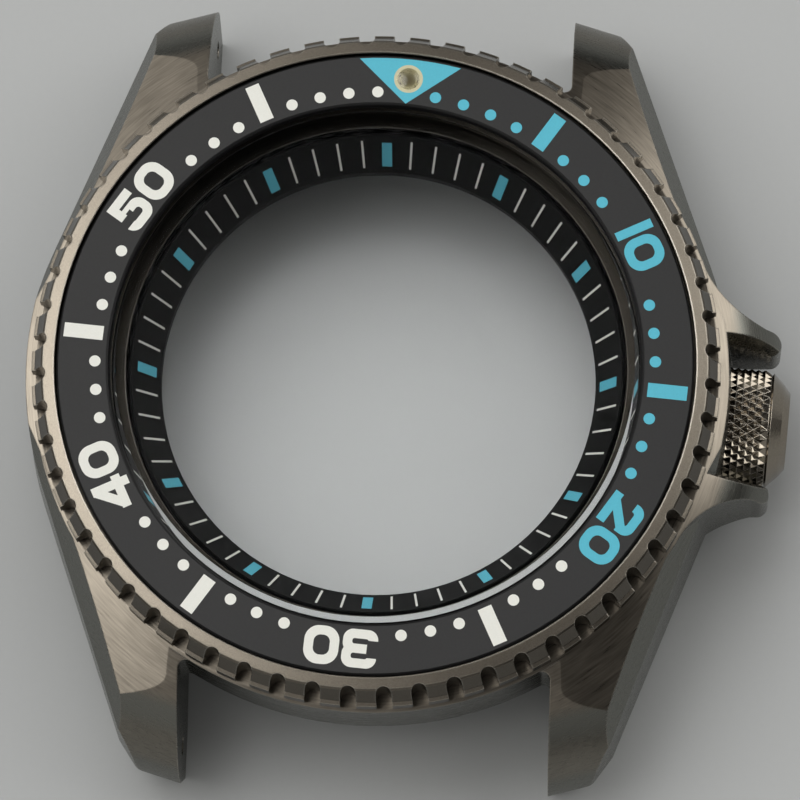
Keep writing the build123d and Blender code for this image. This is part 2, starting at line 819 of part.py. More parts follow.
def crown_tube():
    start = crown_pocket_x
    flange_end = start + tube_flange_length
    return turned_on_crown([
        (tube_start_x, tube_bore_r), (tube_start_x, tube_shank_r), (start, tube_shank_r), (start, tube_flange_r),
        (flange_end, tube_flange_r), (flange_end, tube_thread_r), (tube_end_x, tube_thread_r),
        (tube_end_x, tube_seal_bore_r), (tube_end_x - tube_seal_length, tube_seal_bore_r),
        (tube_end_x - tube_seal_length, tube_bore_r),
    ])


def tube_seal():
    return crown_ring(tube_seal_bore_r, tube_bore_r, tube_end_x - tube_seal_length, tube_end_x)


def knurl_sleeve():
    """Sleeve whose outside is rows of small four-sided pyramids in a diamond pattern."""
    row_length = (knurl_end_x - knurl_start_x) / knurl_rows
    step = 180 / knurl_columns
    valley_r = crown_r - knurl_depth
    faces = []

    def place(row, column, radius):
        angle = radians(column * step)
        return Vector(knurl_start_x + row * row_length / 2, radius * sin(angle), crown_z + radius * cos(angle))

    def flat(*corners):
        faces.append(Face(Wire.make_polygon(corners, close=True)))

    rows = knurl_rows * 2
    columns = knurl_columns * 2
    for row in range(1, rows):
        for column in range(row % 2, columns, 2):
            peak = place(row, column, crown_r)
            ends = [place(row - 1, column, valley_r), place(row, column + 1, valley_r),
                    place(row + 1, column, valley_r), place(row, column - 1, valley_r)]
            for i in range(4):
                flat(peak, ends[i], ends[(i + 1) % 4])
    for row, turn in ((0, 1), (rows, -1)):
        for column in range(1, columns, 2):
            left, right = place(row, column, valley_r), place(row, column + 2, valley_r)
            inner = place(row + turn, column + 1, valley_r)
            flat(left, right, inner)
            middle = Vector(place(row, 0, 0).X, 0, crown_z)
            flat(left, right, middle)
    return Solid(Shell(faces))


def crown_bore_r():
    """Bore of the crown round the tube's thread."""
    return tube_thread_r + crown_thread_clearance


def crown_gasket_start_x():
    """Place of the crown's gasket, just clear of the tube's flange."""
    return crown_pocket_x + tube_flange_length + crown_gasket_gap


def crown_cap():
    """Crown with its knurl, gasket seat, threaded bore and spring chamber."""
    shoulder_x = knurl_end_x + crown_shoulder_gap
    outside = turned_on_crown([
        (crown_start_x, 0), (crown_start_x, crown_r - crown_entry_chamfer), (knurl_start_x, crown_r - knurl_depth),
        (knurl_start_x, crown_core_r), (knurl_end_x, crown_core_r), (shoulder_x, crown_shoulder_r),
        (crown_bevel_x, crown_bevel_r), (crown_end_x, crown_end_r), (crown_end_x, 0),
    ])
    seat_x = crown_gasket_start_x() + crown_gasket_length
    inside = turned_on_crown([
        (crown_start_x - over, 0), (crown_start_x - over, crown_gasket_r), (seat_x, crown_gasket_r),
        (seat_x, crown_bore_r()), (crown_thread_end_x + retainer_length, crown_bore_r()),
        (crown_thread_end_x + retainer_length, chamber_r), (chamber_end_x, chamber_r), (chamber_end_x, 0),
    ])
    return knurl_sleeve() + outside - inside


def crown_gasket():
    start_x = crown_gasket_start_x()
    return crown_ring(crown_gasket_r, crown_bore_r(), start_x, start_x + crown_gasket_length)


def crown_retainer():
    """Bush pressed into the crown's bore, which keeps the post's head in the chamber."""
    return crown_ring(crown_bore_r(), retainer_bore_r, crown_thread_end_x, crown_thread_end_x + retainer_length)


def crown_post():
    """Sliding post with a head, and a threaded hole in its inner end for the winding stem."""
    head_x = crown_thread_end_x + retainer_length
    return turned_on_crown([
        (post_start_x, stem_thread_r), (post_start_x, post_r), (head_x, post_r), (head_x, post_head_r),
        (head_x + post_head_length, post_head_r), (head_x + post_head_length, 0),
        (post_start_x + stem_thread_depth, 0), (post_start_x + stem_thread_depth, stem_thread_r),
    ])


def crown_washer():
    """Slip washer at the end of the chamber, on which the spring bears."""
    end_x = chamber_end_x - spring_clearance
    return crown_ring(post_head_r, washer_bore_r, end_x - washer_length, end_x)


def crown_spring():
    """Coil spring between the post's head and the slip washer."""
    start_x = crown_thread_end_x + retainer_length + post_head_length + spring_clearance + spring_wire_r
    end_x = chamber_end_x - spring_clearance * 2 - washer_length - spring_wire_r
    length = end_x - start_x
    path = Helix(length / spring_turns, length, spring_coil_r)
    profile = Plane(origin=path @ 0, z_dir=path % 0) * Circle(spring_wire_r)
    coil = sweep(profile, path)
    return Pos(start_x, 0, crown_z) * Rot(0, 90, 0) * coil


PARTS = {
    "mid_case": mid_case,
    "bezel": bezel,
    "bezel_insert": bezel_insert,
    "insert_adhesive": insert_adhesive,
    "insert_blue_marks": blue_marks,
    "insert_white_marks": white_marks,
    "lume_pearl": lume_pearl,
    "pearl_cap": pearl_cap,
    "crystal": crystal,
    "crystal_gasket": crystal_gasket,
    "bezel_gasket": bezel_gasket,
    "case_back_gasket": back_gasket,
    "bezel_click_spring": click_spring,
    "click_spring_pins": spring_pins,
    "chapter_ring": chapter_body,
    "chapter_five_minute_marks": five_minute_marks,
    "chapter_minute_marks": single_minute_marks,
    "crown_tube": crown_tube,
    "crown_tube_seal": tube_seal,
    "crown_cap": crown_cap,
    "crown_gasket": crown_gasket,
    "crown_retainer": crown_retainer,
    "crown_post": crown_post,
    "crown_washer": crown_washer,
    "crown_spring": crown_spring,
}
# The bezel stands a few clicks round from 12 o'clock, and its insert was glued in a little off it
TURNED = dict.fromkeys(("bezel_insert", "insert_adhesive", "insert_blue_marks", "insert_white_marks",
                        "lume_pearl", "pearl_cap"), insert_turn)
TURNED["bezel"] = bezel_turn
TURNED.update((name, crown_swing) for name in PARTS if name.startswith("crown_"))

os.makedirs("parts", exist_ok=True)
for name, make in PARTS.items():
    made = make()
    pieces = made if isinstance(made, list) else [made]
    placed = [Rot(0, 0, -TURNED.get(name, 0)) * solid for piece in pieces for solid in piece.solids()]
    export_step(Compound(children=placed), "parts/" + name + ".step")
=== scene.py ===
import math

import bpy
from mathutils import Matrix, Vector


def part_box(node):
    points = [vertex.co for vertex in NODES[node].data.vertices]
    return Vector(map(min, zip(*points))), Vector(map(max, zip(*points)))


# Looks of an empty diver's watch case: gunmetal case middle, bezel and crown, matt black insert,
# clear crystal and black chapter ring. Every shape is a CAD node, so this script makes the
# finishes and the stage. Everything is in metres in the case's own frame: origin on the case axis
# in the plane of the case-back land, +Z to the crystal, +Y to 12 o'clock, +X to 3 o'clock.

bl_info = {
    "name": "Watch case looks",
    "version": (1, 0, 0),
    "blender": (4, 5, 0),
    "location": "View3D > Sidebar > Watch Case",
    "description": "Dresses the parts of an empty diver's watch case",
    "category": "Object",
}

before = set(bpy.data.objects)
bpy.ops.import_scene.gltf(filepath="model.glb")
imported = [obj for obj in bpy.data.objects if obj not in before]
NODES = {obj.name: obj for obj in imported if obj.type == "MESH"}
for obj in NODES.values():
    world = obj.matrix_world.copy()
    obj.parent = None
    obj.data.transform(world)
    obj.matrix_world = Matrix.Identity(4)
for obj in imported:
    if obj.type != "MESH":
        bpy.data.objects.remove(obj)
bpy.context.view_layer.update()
MM = 0.001

CASE_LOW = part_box("mid_case")[0]
INSERT_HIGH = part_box("bezel_insert")[1]


# Sizes and colours that a user may change

class CaseFinish(bpy.types.PropertyGroup):
    """Gunmetal of the case middle, bezel and crown."""

    metal: bpy.props.FloatVectorProperty(
        name="Metal", description="Colour of the gunmetal coating where it is brushed or blasted",
        subtype="COLOR", size=3, min=0, max=1, default=(0.190, 0.168, 0.138))
    polished: bpy.props.FloatVectorProperty(
        name="Polished metal", description="Colour of the gunmetal coating where it is smooth",
        subtype="COLOR", size=3, min=0, max=1, default=(0.150, 0.150, 0.134))
    brush_pitch: bpy.props.FloatProperty(
        name="Brush pitch", description="Distance between brush lines on the tops of the lugs",
        unit="LENGTH", min=0, default=0.11 * MM)
    brush_stroke: bpy.props.FloatProperty(
        name="Brush stroke", description="Angle round the case axis that one brush line covers",
        subtype="ANGLE", min=0, default=math.radians(5))
    blast_grain: bpy.props.FloatProperty(
        name="Blast grain", description="Size of the sandblasted grain on the bezel's rim",
        unit="LENGTH", min=0, default=0.07 * MM)
    edge_radius: bpy.props.FloatProperty(
        name="Edge radius", description="Radius to which the metal's edges look broken",
        unit="LENGTH", min=0, default=0.12 * MM)


class DialFinish(bpy.types.PropertyGroup):
    """Insert, chapter ring and their marks."""

    insert: bpy.props.FloatVectorProperty(
        name="Insert", description="Colour of the bezel insert",
        subtype="COLOR", size=3, min=0, max=1, default=(0.012, 0.012, 0.0125))
    blue: bpy.props.FloatVectorProperty(
        name="Blue", description="Colour of the blue marks",
        subtype="COLOR", size=3, min=0, max=1, default=(0.10, 0.50, 0.64))
    white: bpy.props.FloatVectorProperty(
        name="White", description="Colour of the white marks",
        subtype="COLOR", size=3, min=0, max=1, default=(0.86, 0.86, 0.80))
    ring: bpy.props.FloatVectorProperty(
        name="Chapter ring", description="Colour of the chapter ring",
        subtype="COLOR", size=3, min=0, max=1, default=(0.006, 0.006, 0.006))


class StageSettings(bpy.types.PropertyGroup):
    """Floor and camera."""

    floor: bpy.props.FloatVectorProperty(
        name="Floor", description="Colour of the floor",
        subtype="COLOR", size=3, min=0, max=1, default=(0.50, 0.51, 0.51))
    azimuth: bpy.props.FloatProperty(
        name="Azimuth", description="Direction of the camera round the case axis",
        subtype="ANGLE", default=math.radians(11.04))
    elevation: bpy.props.FloatProperty(
        name="Elevation", description="Height of the camera above the horizon",
        subtype="ANGLE", default=math.radians(76.43))
    roll: bpy.props.FloatProperty(
        name="Roll", description="Turn of the camera about its own axis",
        subtype="ANGLE", default=math.radians(-8.88))
    distance: bpy.props.FloatProperty(
        name="Distance", description="Distance from the camera to the insert's centre",
        unit="LENGTH", min=0, default=350 * MM)


# Node helpers

def new_material(name):
    """Material with its Principled shader, ready for nodes."""
    material = bpy.data.materials.new(name)
    material.use_nodes = True
    return material, material.node_tree, material.node_tree.nodes["Principled BSDF"]


def add(tree, kind, **settings):
    """Node of a kind with some of its settings."""
    node = tree.nodes.new(kind)
    for key, value in settings.items():
        setattr(node, key, value)
    return node


def plug(tree, value, socket):
    """An input linked to another node's socket, or set to a plain value."""
    if isinstance(value, bpy.types.NodeSocket):
        tree.links.new(value, socket)
    else:
        socket.default_value = value


def math_node(tree, operation, *values):
    """Math node with each input a socket or a number."""
    node = add(tree, "ShaderNodeMath", operation=operation)
    for value, socket in zip(values, node.inputs):
        plug(tree, value, socket)
    return node.outputs[0]


def times(tree, first, second):
    """Product of two numbers or sockets."""
    return math_node(tree, "MULTIPLY", first, second)


def ramp(tree, value, low, high):
    """Smooth step of a value from low to high."""
    node = add(tree, "ShaderNodeMapRange", interpolation_type="SMOOTHSTEP")
    tree.links.new(value, node.inputs["Value"])
    node.inputs["From Min"].default_value = low
    node.inputs["From Max"].default_value = high
    return node.outputs["Result"]


def blend_values(tree, factor, low, high):
    """Number that runs from low to high with a factor."""
    node = add(tree, "ShaderNodeMapRange")
    tree.links.new(factor, node.inputs["Value"])
    node.inputs["To Min"].default_value = low
    node.inputs["To Max"].default_value = high
    return node.outputs["Result"]


def mix_colours(tree, factor, first, second, mode="MIX"):
    """Mix of two colours, each a socket or a colour."""
    node = add(tree, "ShaderNodeMix", data_type="RGBA", blend_type=mode)
    plug(tree, factor, node.inputs["Factor"])
    for value, label in ((first, "A"), (second, "B")):
        if not isinstance(value, bpy.types.NodeSocket):
            value = (*value[:3], 1)
        plug(tree, value, node.inputs[label])
    return node.outputs["Result"]


def mix_shaders(tree, factor, first, second):
    """Mix of two shaders."""
    node = add(tree, "ShaderNodeMixShader")
    for value, socket in zip((factor, first, second), node.inputs):
        tree.links.new(value, socket)
    return node.outputs[0]


def toned(tree, colour, tone):
    """Colour, a socket or plain, made darker or lighter by a tone."""
    node = add(tree, "ShaderNodeVectorMath", operation="SCALE")
    plug(tree, colour, node.inputs[0])
    tree.links.new(tone, node.inputs["Scale"])
    return node.outputs[0]


def bump(tree, height, distance, normal=None):
    """Bump of a height in metres, over a base normal if there is one."""
    node = add(tree, "ShaderNodeBump")
    node.inputs["Strength"].default_value = 1
    node.inputs["Distance"].default_value = distance
    tree.links.new(height, node.inputs["Height"])
    if normal is not None:
        tree.links.new(normal, node.inputs["Normal"])
    return node.outputs["Normal"]


def facing(tree):
    """X, Y and Z of the direction that a face looks in."""
    place = add(tree, "ShaderNodeTexCoord")
    split = add(tree, "ShaderNodeSeparateXYZ")
    tree.links.new(place.outputs["Normal"], split.inputs[0])
    return split.outputs


def finish_shader(tree, shader, colour, roughness, normal):
    """The three inputs that every finish drives from its nodes."""
    for value, label in ((colour, "Base Color"), (roughness, "Roughness"), (normal, "Normal")):
        tree.links.new(value, shader.inputs[label])


# Shared effects

def new_group(name, inputs, outputs):
    """Shader node group with named sockets, and its input and output nodes."""
    group = bpy.data.node_groups.new(name, "ShaderNodeTree")
    for label, default in inputs:
        socket = group.interface.new_socket(label, in_out="INPUT", socket_type="NodeSocketFloat")
        socket.default_value = default
    for label, kind in outputs:
        group.interface.new_socket(label, in_out="OUTPUT", socket_type=kind)
    return group, group.nodes.new("NodeGroupInput"), group.nodes.new("NodeGroupOutput")


def noise(tree, place, scale, detail):
    """Noise of a scale, a socket or a number, at a place."""
    node = add(tree, "ShaderNodeTexNoise")
    tree.links.new(place, node.inputs["Vector"])
    plug(tree, scale, node.inputs["Scale"])
    node.inputs["Detail"].default_value = detail
    return node.outputs["Fac"]


def make_ring_brush_group(name):
    """Fine lines that run round the case axis, as a lathe or a brush leaves them."""
    patch_size = 3 * MM
    line_detail, patch_detail = 3, 2
    group, inputs, outputs = new_group(
        name, [("Pitch", 0.05 * MM), ("Smear", 0.02)],
        [("Lines", "NodeSocketFloat"), ("Patches", "NodeSocketFloat")])
    place = add(group, "ShaderNodeTexCoord").outputs["Object"]
    split = add(group, "ShaderNodeSeparateXYZ")
    group.links.new(place, split.inputs[0])
    x, y, z = split.outputs
    squares = [math_node(group, "POWER", side, 2) for side in (x, y)]
    radius = math_node(group, "SQRT", math_node(group, "ADD", *squares))
    along = math_node(group, "ARCTAN2", y, x)
    unrolled = add(group, "ShaderNodeCombineXYZ")
    steps = ((radius, "Pitch"), (along, "Smear"), (z, "Pitch"))
    for (value, step), socket in zip(steps, unrolled.inputs):
        group.links.new(math_node(group, "DIVIDE", value, inputs.outputs[step]), socket)
    lines = noise(group, unrolled.outputs[0], 1, line_detail)
    patches = noise(group, place, 1 / patch_size, patch_detail)
    group.links.new(lines, outputs.inputs["Lines"])
    group.links.new(patches, outputs.inputs["Patches"])


def make_grain_group(name):
    """Even fine grain, as of blasted metal, rubber or matt paint."""
    cloud_size = 4 * MM
    detail = 2
    group, inputs, outputs = new_group(
        name, [("Grain size", 0.1 * MM)],
        [("Grain", "NodeSocketFloat"), ("Clouds", "NodeSocketFloat")])
    place = add(group, "ShaderNodeTexCoord").outputs["Object"]
    scale = math_node(group, "DIVIDE", 1.0, inputs.outputs["Grain size"])
    group.links.new(noise(group, place, scale, detail), outputs.inputs["Grain"])
    group.links.new(noise(group, place, 1 / cloud_size, detail), outputs.inputs["Clouds"])


def make_edge_group(name):
    """Normal that rounds every edge a little, and a mask of where the edges are."""
    bevel_samples = 4
    flat_cosine, edge_cosine = 0.995, 0.9
    group, inputs, outputs = new_group(
        name, [("Radius", 0.07 * MM)],
        [("Normal", "NodeSocketVector"), ("Edge", "NodeSocketFloat")])
    bevel = add(group, "ShaderNodeBevel", samples=bevel_samples)
    group.links.new(inputs.outputs["Radius"], bevel.inputs["Radius"])
    plain = add(group, "ShaderNodeNewGeometry")
    turn = add(group, "ShaderNodeVectorMath", operation="DOT_PRODUCT")
    group.links.new(bevel.outputs["Normal"], turn.inputs[0])
    group.links.new(plain.outputs["Normal"], turn.inputs[1])
    group.links.new(bevel.outputs["Normal"], outputs.inputs["Normal"])
    group.links.new(ramp(group, turn.outputs["Value"], flat_cosine, edge_cosine),
                    outputs.inputs["Edge"])


GROUP_MAKERS = {
    "Ring brush": make_ring_brush_group,
    "Fine grain": make_grain_group,
    "Broken edges": make_edge_group,
}


def use_group(tree, name, **values):
    """A shared group, built on its first use, placed in a material with its own values."""
    if name not in bpy.data.node_groups:
        GROUP_MAKERS[name](name)
    node = add(tree, "ShaderNodeGroup", node_tree=bpy.data.node_groups[name])
    for label, value in values.items():
        node.inputs[label.replace("_", " ").capitalize()].default_value = value
    return node.outputs


# Materials

def painted_inner_shade(tree):
    """Mask of the case's inside, where painted shade darkens the case metal."""
    fade = 0.1 * MM
    reach = (INSERT_HIGH.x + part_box("crystal")[1].x) / 2
    place = add(tree, "ShaderNodeTexCoord")
    across = add(tree, "ShaderNodeVectorMath", operation="MULTIPLY")
    tree.links.new(place.outputs["Object"], across.inputs[0])
    across.inputs[1].default_value = (1, 1, 0)
    radius = add(tree, "ShaderNodeVectorMath", operation="LENGTH")
    tree.links.new(across.outputs[0], radius.inputs[0])
    return ramp(tree, radius.outputs["Value"], reach, reach - fade)


def case_metal():
    """Gunmetal of the case middle: brushed tops, half brushed tips, polished bevels and sides, with
    painted shade on its inside and painted highlight on its edges.
    """
    finish = bpy.context.scene.case_finish
    anisotropy, round_the_axis = 0.6, 0.25
    top_faces_up = (0.82, 0.9)
    tip_faces_up, tip_faces_along = (0.3, 0.45), (0.6, 0.75)
    tip_brushing = 0.55
    line_tone, patch_tone, inside_shade_tone = (0.45, 1.55), (0.75, 1.25), 0.12
    edge_highlight_colour, edge_highlight_share = (0.62, 0.58, 0.52), 0.35
    polished_roughness, brushed_roughness, line_roughness = 0.26, 0.31, 0.18
    line_height = 0.004 * MM

    material, tree, shader = new_material("case_gunmetal")
    shader.inputs["Metallic"].default_value = 1
    shader.inputs["Anisotropic"].default_value = anisotropy
    shader.inputs["Anisotropic Rotation"].default_value = round_the_axis
    tangent = add(tree, "ShaderNodeTangent", direction_type="RADIAL", axis="Z")
    tree.links.new(tangent.outputs[0], shader.inputs["Tangent"])
    brush = use_group(tree, "Ring brush", pitch=finish.brush_pitch, smear=finish.brush_stroke)
    edges = use_group(tree, "Broken edges", radius=finish.edge_radius)

    _, north, up = facing(tree)
    along = math_node(tree, "ABSOLUTE", north)
    is_top = ramp(tree, up, *top_faces_up)
    is_tip = times(tree, ramp(tree, along, *tip_faces_along), ramp(tree, up, *tip_faces_up))
    brushed = math_node(tree, "MAXIMUM", is_top, times(tree, is_tip, tip_brushing))

    tone = times(tree, blend_values(tree, brush["Lines"], *line_tone),
                 blend_values(tree, brush["Patches"], *patch_tone))
    tone = times(tree, math_node(tree, "SUBTRACT", tone, 1.0), brushed)
    tone = math_node(tree, "ADD", tone, 1.0)
    # Painted shade: the case's inside is darkened in its colour, down to a small share of the
    # metal's tone.
    tone = times(tree, tone, blend_values(tree, painted_inner_shade(tree), 1.0, inside_shade_tone))
    metal = toned(tree, mix_colours(tree, brushed, finish.polished, finish.metal), tone)
    # Painted highlight: the edges are lightened toward a bare-metal colour.
    edge_lit = mix_colours(tree, times(tree, edges["Edge"], edge_highlight_share), metal, edge_highlight_colour)

    uneven = times(tree, math_node(tree, "SUBTRACT", brush["Lines"], 0.5), line_roughness)
    rough = blend_values(tree, brushed, polished_roughness, brushed_roughness)
    rough = math_node(tree, "ADD", rough, uneven)
    height = times(tree, brush["Lines"], brushed)
    finish_shader(tree, shader, edge_lit, rough, bump(tree, height, line_height, edges["Normal"]))
    return material


def bezel_metal():
    """Gunmetal of the bezel: sandblasted rim, satin flank darkened by painted shade, edges
    lightened by painted highlight.
    """
    finish = bpy.context.scene.case_finish
    rim_faces_up = (0.5, 0.9)
    grain_tone, cloud_tone, flank_shade_tone = (0.62, 1.38), (0.92, 1.08), 0.5
    edge_highlight_colour, edge_highlight_share = (0.70, 0.66, 0.58), 0.6
    flank_roughness, rim_roughness = 0.24, 0.34
    grain_height, flank_grain = 0.006 * MM, 0.15

    material, tree, shader = new_material("bezel_gunmetal")
    shader.inputs["Metallic"].default_value = 1
    grain = use_group(tree, "Fine grain", grain_size=finish.blast_grain)
    edges = use_group(tree, "Broken edges", radius=finish.edge_radius)
    is_rim = ramp(tree, facing(tree)[2], *rim_faces_up)

    tone = times(tree, blend_values(tree, grain["Grain"], *grain_tone),
                 blend_values(tree, grain["Clouds"], *cloud_tone))
    metal = toned(tree, finish.metal, tone)
    # Painted highlight: the edges are lightened toward a bare-metal colour.
    edge_lit = mix_colours(tree, times(tree, edges["Edge"], edge_highlight_share), metal, edge_highlight_colour)
    # Painted shade: the flank, which faces sideways, is darkened in its colour.
    shaded = toned(tree, edge_lit, blend_values(tree, is_rim, flank_shade_tone, 1.0))
    rough = blend_values(tree, is_rim, flank_roughness, rim_roughness)
    height = times(tree, grain["Grain"], blend_values(tree, is_rim, flank_grain, 1.0))
    finish_shader(tree, shader, shaded, rough, bump(tree, height, grain_height, edges["Normal"]))
    return material


def crown_metal():
    """Gunmetal of the crown: lighter and smoother than the case, with edges lightened by painted
    highlight.
    """
    finish = bpy.context.scene.case_finish
    edge_share = 0.5
    grain_size, grain_height = 0.12 * MM, 0.002 * MM
    grain_tone = (1.0, 1.7)
    edge_highlight_colour, edge_highlight_share = (0.66, 0.62, 0.56), 0.5
    roughness = (0.12, 0.22)

    material, tree, shader = new_material("crown_gunmetal")
    shader.inputs["Metallic"].default_value = 1
    grain = use_group(tree, "Fine grain", grain_size=grain_size)
    edges = use_group(tree, "Broken edges", radius=finish.edge_radius * edge_share)
    metal = toned(tree, finish.metal, blend_values(tree, grain["Grain"], *grain_tone))
    # Painted highlight: the edges are lightened toward a bare-metal colour.
    edge_lit = mix_colours(tree, times(tree, edges["Edge"], edge_highlight_share), metal, edge_highlight_colour)
    finish_shader(tree, shader, edge_lit, blend_values(tree, grain["Clouds"], *roughness),
                  bump(tree, grain["Grain"], grain_height, edges["Normal"]))
    return material


def grained_material(name, colour, roughness, grain_size, relief,
                     metallic=0.0, variation=0.12, sheen=0.5):
    """Matt or satin surface with an even grain, for paint, rubber, lacquer and plain steel."""
    cloud_variation = variation / 3
    roughness_spread = 0.05
    material, tree, shader = new_material(name)
    shader.inputs["Metallic"].default_value = metallic
    shader.inputs["Specular IOR Level"].default_value = sheen
    grain = use_group(tree, "Fine grain", grain_size=grain_size)
    tone = times(
        tree, blend_values(tree, grain["Grain"], 1 - variation, 1 + variation),
        blend_values(tree, grain["Clouds"], 1 - cloud_variation, 1 + cloud_variation))
    rough = blend_values(
        tree, grain["Clouds"], roughness - roughness_spread, roughness + roughness_spread)
    finish_shader(tree, shader, toned(tree, colour, tone), rough,
                  bump(tree, grain["Grain"], relief))
    return material


def clear_material(name, tint, roughness, coated=False):
    """Clear glass that lamps shine through. Coated, its flat faces hardly mirror anything."""
    index = 1.45
    grain_size, grain_roughness = 0.5 * MM, 0.01
    flat_faces_up, coat_share = (0.9, 0.99), 0.95

    material, tree, shader = new_material(name)
    shader.inputs["Base Color"].default_value = (*tint, 1)
    shader.inputs["Transmission Weight"].default_value = 1
    shader.inputs["IOR"].default_value = index
    grain = use_group(tree, "Fine grain", grain_size=grain_size)
    rough = blend_values(tree, grain["Grain"], roughness, roughness + grain_roughness)
    tree.links.new(rough, shader.inputs["Roughness"])
    surface = shader.outputs[0]
    if coated:
        flat = ramp(tree, math_node(tree, "ABSOLUTE", facing(tree)[2]), *flat_faces_up)
        coat = add(tree, "ShaderNodeBsdfRefraction")
        coat.inputs["Color"].default_value = (*tint, 1)
        coat.inputs["IOR"].default_value = index
        coat.inputs["Roughness"].default_value = 0
        surface = mix_shaders(tree, times(tree, flat, coat_share), surface, coat.outputs[0])
    path = add(tree, "ShaderNodeLightPath")
    through = add(tree, "ShaderNodeBsdfTransparent")
    surface = mix_shaders(tree, path.outputs["Is Shadow Ray"], surface, through.outputs[0])
    tree.links.new(surface, tree.nodes["Material Output"].inputs["Surface"])
    return material


def pearl_material():
    """Luminous pearl: cream paint, its middle darkened softly by painted shade."""
    shade_starts, shade_ends = 0.2, 0.75
    shade_colour, paint_colour = (0.16, 0.12, 0.05), (0.62, 0.58, 0.38)
    grain_size, grain_share, grain_height = 0.12 * MM, 0.12, 0.004 * MM
    roughness = (0.4, 0.55)

    material, tree, shader = new_material("pearl_paint")
    low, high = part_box("lume_pearl")
    centre = (low + high) / 2
    reach = (high.x - low.x) / 2
    place = add(tree, "ShaderNodeTexCoord")
    distance = add(tree, "ShaderNodeVectorMath", operation="DISTANCE")
    tree.links.new(place.outputs["Object"], distance.inputs[0])
    distance.inputs[1].default_value = (centre.x, centre.y, high.z)
    from_middle = ramp(tree, distance.outputs["Value"], reach * shade_starts, reach * shade_ends)
    grain = use_group(tree, "Fine grain", grain_size=grain_size)
    # Painted shade: the pearl's middle is darkened to a brown.
    colour = mix_colours(tree, from_middle, shade_colour, paint_colour)
    colour = mix_colours(tree, grain_share, colour, grain["Grain"], mode="OVERLAY")
    finish_shader(tree, shader, colour, blend_values(tree, grain["Clouds"], *roughness),
                  bump(tree, grain["Grain"], grain_height))
    return material


def assign(material, *names):
    """The material goes into the slots of CAD nodes."""
    for name in names:
        node = NODES[name]
        if not node.material_slots:
            raise RuntimeError(name + " has no material slot")
        for slot in node.material_slots:
            slot.material = material


# Operators

class WATCHCASE_OT_case_middle(bpy.types.Operator):
    """Finish the case middle in brushed and polished gunmetal"""

    bl_idname = "watchcase.case_middle"
    bl_label = "Finish case middle"

    def execute(self, context):
        assign(case_metal(), "mid_case")
        return {"FINISHED"}


class WATCHCASE_OT_bezel(bpy.types.Operator):
    """Finish the turning bezel in sandblasted gunmetal"""

    bl_idname = "watchcase.bezel"
    bl_label = "Finish bezel"

    def execute(self, context):
        assign(bezel_metal(), "bezel")
        return {"FINISHED"}


class WATCHCASE_OT_insert(bpy.types.Operator):
    """Finish the insert, its marks, its adhesive and the pearl"""

    bl_idname = "watchcase.insert"
    bl_label = "Finish insert"

    def execute(self, context):
        dial = context.scene.dial_finish
        film_colour = (0.5, 0.48, 0.44)
        cap_tint = (0.98, 0.96, 0.86)
        assign(grained_material(
            "insert_black", dial.insert, roughness=0.5, grain_size=0.12 * MM, relief=0.004 * MM,
            variation=0.3, sheen=0.4), "bezel_insert")
        assign(grained_material(
            "blue_paint", dial.blue, roughness=0.6, grain_size=0.08 * MM, relief=0.003 * MM,
            variation=0.08), "insert_blue_marks")
        assign(grained_material(
            "white_paint", dial.white, roughness=0.6, grain_size=0.08 * MM, relief=0.003 * MM,
            variation=0.05), "insert_white_marks")
        assign(grained_material(
            "adhesive_film", film_colour, roughness=0.6, grain_size=0.2 * MM,
            relief=0.002 * MM), "insert_adhesive")
        assign(pearl_material(), "lume_pearl")
        assign(clear_material("pearl_clear", cap_tint, roughness=0.05), "pearl_cap")
        return {"FINISHED"}


class WATCHCASE_OT_crystal(bpy.types.Operator):
    """Finish the crystal and its gasket"""

    bl_idname = "watchcase.crystal"
    bl_label = "Finish crystal"

    def execute(self, context):
        crystal_tint = (0.985, 0.99, 0.99)
        nylon_colour = (0.012, 0.012, 0.012)
        assign(clear_material("crystal_clear", crystal_tint, roughness=0.0, coated=True), "crystal")
        assign(grained_material(
            "black_nylon", nylon_colour, roughness=0.4, grain_size=0.15 * MM,
            relief=0.003 * MM), "crystal_gasket")
        return {"FINISHED"}


class WATCHCASE_OT_chapter_ring(bpy.types.Operator):
    """Finish the chapter ring and its printed marks"""

    bl_idname = "watchcase.chapter_ring"
    bl_label = "Finish chapter ring"

    def execute(self, context):
        dial = context.scene.dial_finish
        print_tone = 0.75
        assign(grained_material(
            "ring_lacquer", dial.ring, roughness=0.5, grain_size=0.1 * MM, relief=0.0003 * MM,
            sheen=0.05), "chapter_ring")
        for name, paint, marks in (
            ("blue_print", dial.blue, "chapter_five_minute_marks"),
            ("white_print", dial.white, "chapter_minute_marks"),
        ):
            assign(grained_material(
                name, [print_tone * part for part in paint], roughness=0.55,
                grain_size=0.08 * MM, relief=0.002 * MM), marks)
        return {"FINISHED"}


class WATCHCASE_OT_crown(bpy.types.Operator):
    """Finish the crown"""

    bl_idname = "watchcase.crown"
    bl_label = "Finish crown"

    def execute(self, context):
        assign(crown_metal(), "crown_cap")
        return {"FINISHED"}


